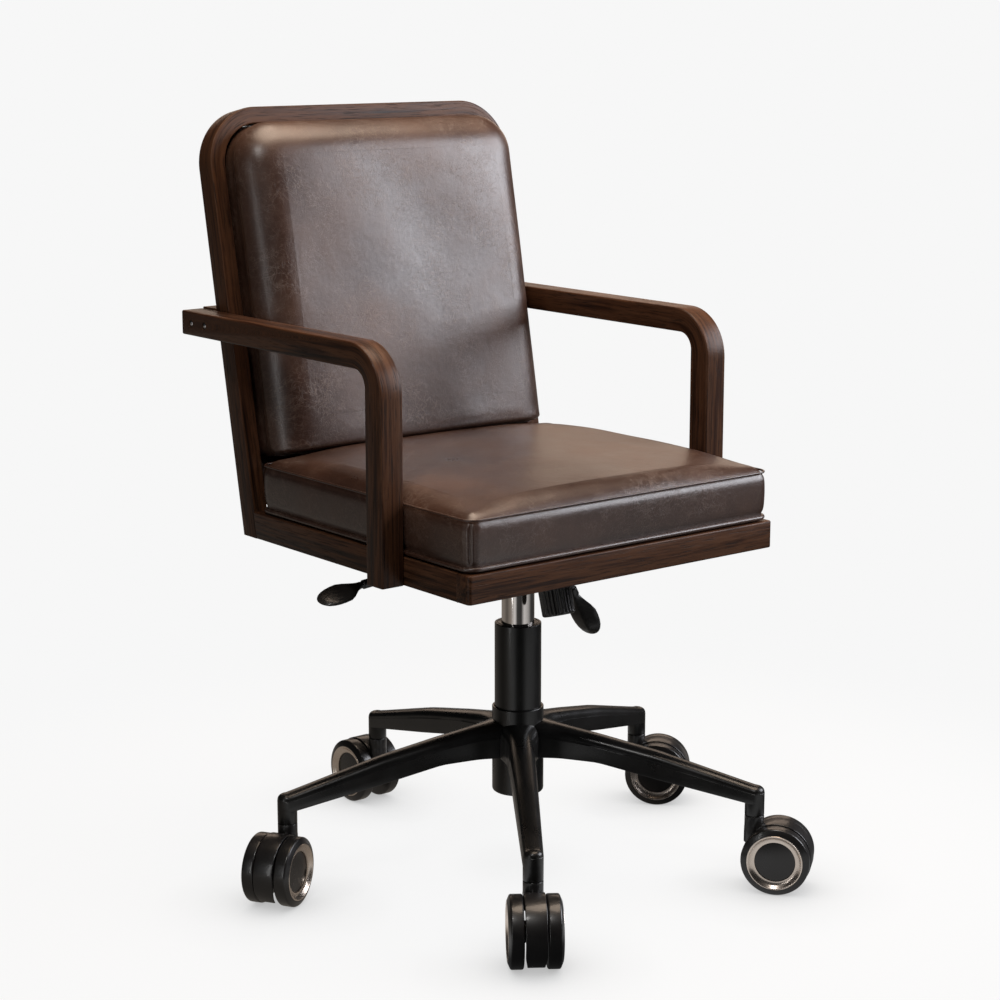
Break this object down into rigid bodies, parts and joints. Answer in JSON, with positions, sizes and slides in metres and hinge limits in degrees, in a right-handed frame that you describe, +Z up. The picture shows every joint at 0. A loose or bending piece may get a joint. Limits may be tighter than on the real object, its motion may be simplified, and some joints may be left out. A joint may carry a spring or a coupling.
{
  "type": "swivel office chair",
  "caption": "Padded seat and back in a bent wood frame with wood arms, on a tilting gas-lift column and a star base with twin-wheel castors.",
  "frame": {"origin": "where the column axis meets the floor", "axes": "+Z up, -Y towards the front of the seat, +X towards the sitter's left"},
  "size_m": [0.6855, 0.6629, 0.9015],
  "materials": {
    "base_black": "satin black powder coat on cast aluminium",
    "mechanism_black": "satin black paint on pressed steel",
    "control_plastic": "fine satin moulded black",
    "castor_plastic": "semi-gloss black nylon",
    "wheel_trim": "brushed champagne ring round a flat black disc",
    "column_chrome": "polished",
    "steel": "bright zinc",
    "dark_steel": "black oxide",
    "rubber": "matt",
    "walnut": "satin dark walnut, open grain",
    "plywood": "raw birch plywood and beech blocks",
    "leather": "glossy worn dark brown leather"
  },
  "bodies": {
    "base": {"star_base": "base_black", "stand_tube": "base_black", "guide_bush": "control_plastic", "thrust_bearing": "steel"},
    "column_rod": {"piston_rod": "steel"},
    "mechanism": {"gas_cylinder": "column_chrome", "mechanism_housing": "mechanism_black", "mechanism_pins": "steel", "tilt_stops": "rubber"},
    "release_button": {"release_pin": "steel"},
    "height_paddle": {"height_lever": "control_plastic"},
    "lock_paddle": {"lock_lever": "control_plastic"},
    "seat": {"seat_plate": "mechanism_black", "tension_bolt": "steel", "tension_spring": "steel", "seat_board": "plywood", "rail_front": "walnut", "rail_rear": "walnut", "rail_left": "walnut", "rail_right": "walnut", "corner_blocks": "plywood", "seat_cushion": "leather", "back_frame": "walnut", "back_panel": "leather", "back_cushion": "leather", "arm_left": "walnut", "arm_right": "walnut", "arm_rear_rail": "walnut", "frame_screws": "dark_steel"},
    "knob": {"tension_knob": "control_plastic"},
    "castor_1": {"castor_hood_1": "castor_plastic", "castor_pins_1": "steel"},
    "wheel_left_1": {"wheel_left_1": "castor_plastic", "wheel_cap_left_1": "wheel_trim"},
    "wheel_right_1": {"wheel_right_1": "castor_plastic", "wheel_cap_right_1": "wheel_trim"},
    "castor_2": {"castor_hood_2": "castor_plastic", "castor_pins_2": "steel"},
    "wheel_left_2": {"wheel_left_2": "castor_plastic", "wheel_cap_left_2": "wheel_trim"},
    "wheel_right_2": {"wheel_right_2": "castor_plastic", "wheel_cap_right_2": "wheel_trim"},
    "castor_3": {"castor_hood_3": "castor_plastic", "castor_pins_3": "steel"},
    "wheel_left_3": {"wheel_left_3": "castor_plastic", "wheel_cap_left_3": "wheel_trim"},
    "wheel_right_3": {"wheel_right_3": "castor_plastic", "wheel_cap_right_3": "wheel_trim"},
    "castor_4": {"castor_hood_4": "castor_plastic", "castor_pins_4": "steel"},
    "wheel_left_4": {"wheel_left_4": "castor_plastic", "wheel_cap_left_4": "wheel_trim"},
    "wheel_right_4": {"wheel_right_4": "castor_plastic", "wheel_cap_right_4": "wheel_trim"},
    "castor_5": {"castor_hood_5": "castor_plastic", "castor_pins_5": "steel"},
    "wheel_left_5": {"wheel_left_5": "castor_plastic", "wheel_cap_left_5": "wheel_trim"},
    "wheel_right_5": {"wheel_right_5": "castor_plastic", "wheel_cap_right_5": "wheel_trim"}
  },
  "joints": [
    {"name": "column_swivel", "type": "hinge", "parent": "base", "child": "column_rod", "pos_m": [0, 0, 0.109], "axis": [0, 0, 1], "continuous": true},
    {"name": "seat_lift", "type": "slide", "parent": "column_rod", "child": "mechanism", "axis": [0, 0, 1], "range_m": [-0.042, 0.055]},
    {"name": "release_press", "type": "slide", "parent": "mechanism", "child": "release_button", "axis": [0, 0, -1], "range_m": [0, 0.0022]},
    {"name": "height_lever_lift", "type": "hinge", "parent": "mechanism", "child": "height_paddle", "pos_m": [-0.044, 0.05, 0.38], "axis": [0, 1, 0], "range_deg": [0, 2.5], "stiffness_Nm_per_rad": 14, "springref_deg": -2.86},
    {"name": "tilt_lock_turn", "type": "hinge", "parent": "mechanism", "child": "lock_paddle", "pos_m": [0.06, -0.005, 0.362], "axis": [1, 0, 0], "range_deg": [-40, 0]},
    {"name": "seat_tilt", "type": "hinge", "parent": "mechanism", "child": "seat", "pos_m": [0, -0.03, 0.382], "axis": [-1, 0, 0], "range_deg": [0, 10], "stiffness_Nm_per_rad": 110, "springref_deg": -11.46, "deforming": ["tension_spring"]},
    {"name": "tension_turn", "type": "hinge", "parent": "seat", "child": "knob", "pos_m": [0, -0.076, 0.326], "axis": [0, 0.2756, 0.9613], "range_deg": [-720, 720]},
    {"name": "castor_swivel_1", "type": "hinge", "parent": "base", "child": "castor_1", "pos_m": [-0.16747, -0.23418, 0.1], "axis": [0, 0, 1], "continuous": true},
    {"name": "wheel_left_spin_1", "type": "hinge", "parent": "castor_1", "child": "wheel_left_1", "pos_m": [-0.18396, -0.2573, 0.0405], "axis": [0.8141, -0.5807, 0], "continuous": true},
    {"name": "wheel_right_spin_1", "type": "hinge", "parent": "castor_1", "child": "wheel_right_1", "pos_m": [-0.18396, -0.2573, 0.0405], "axis": [0.8141, -0.5807, 0], "continuous": true},
    {"name": "castor_swivel_2", "type": "hinge", "parent": "base", "child": "castor_2", "pos_m": [0.17097, -0.23164, 0.1], "axis": [0, 0, 1], "continuous": true},
    {"name": "wheel_left_spin_2", "type": "hinge", "parent": "castor_2", "child": "wheel_left_2", "pos_m": [0.18837, -0.25408, 0.0405], "axis": [0.7902, 0.6129, 0], "continuous": true},
    {"name": "wheel_right_spin_2", "type": "hinge", "parent": "castor_2", "child": "wheel_right_2", "pos_m": [0.18837, -0.25408, 0.0405], "axis": [0.7902, 0.6129, 0], "continuous": true},
    {"name": "castor_swivel_3", "type": "hinge", "parent": "base", "child": "castor_3", "pos_m": [0.27313, 0.09102, 0.1], "axis": [0, 0, 1], "continuous": true},
    {"name": "wheel_left_spin_3", "type": "hinge", "parent": "castor_3", "child": "wheel_left_3", "pos_m": [0.29254, 0.07028, 0.0405], "axis": [0.7302, 0.6833, 0], "continuous": true},
    {"name": "wheel_right_spin_3", "type": "hinge", "parent": "castor_3", "child": "wheel_right_3", "pos_m": [0.29254, 0.07028, 0.0405], "axis": [0.7302, 0.6833, 0], "continuous": true},
    {"name": "castor_swivel_4", "type": "hinge", "parent": "base", "child": "castor_4", "pos_m": [-0.00216, 0.28789, 0.1], "axis": [0, 0, 1], "continuous": true},
    {"name": "wheel_left_spin_4", "type": "hinge", "parent": "castor_4", "child": "wheel_left_4", "pos_m": [-0.00231, 0.31629, 0.0405], "axis": [-1, -0.0052, 0], "continuous": true},
    {"name": "wheel_right_spin_4", "type": "hinge", "parent": "castor_4", "child": "wheel_right_4", "pos_m": [-0.00231, 0.31629, 0.0405], "axis": [-1, -0.0052, 0], "continuous": true},
    {"name": "castor_swivel_5", "type": "hinge", "parent": "base", "child": "castor_5", "pos_m": [-0.27447, 0.08691, 0.1], "axis": [0, 0, 1], "continuous": true},
    {"name": "wheel_left_spin_5", "type": "hinge", "parent": "castor_5", "child": "wheel_left_5", "pos_m": [-0.29876, 0.0722, 0.0405], "axis": [0.518, -0.8554, 0], "continuous": true},
    {"name": "wheel_right_spin_5", "type": "hinge", "parent": "castor_5", "child": "wheel_right_5", "pos_m": [-0.29876, 0.0722, 0.0405], "axis": [0.518, -0.8554, 0], "continuous": true}
  ],
  "couplings": [
    {"joint": "release_press", "follows": "height_lever_lift", "m_per_rad": 0.044}
  ]
}
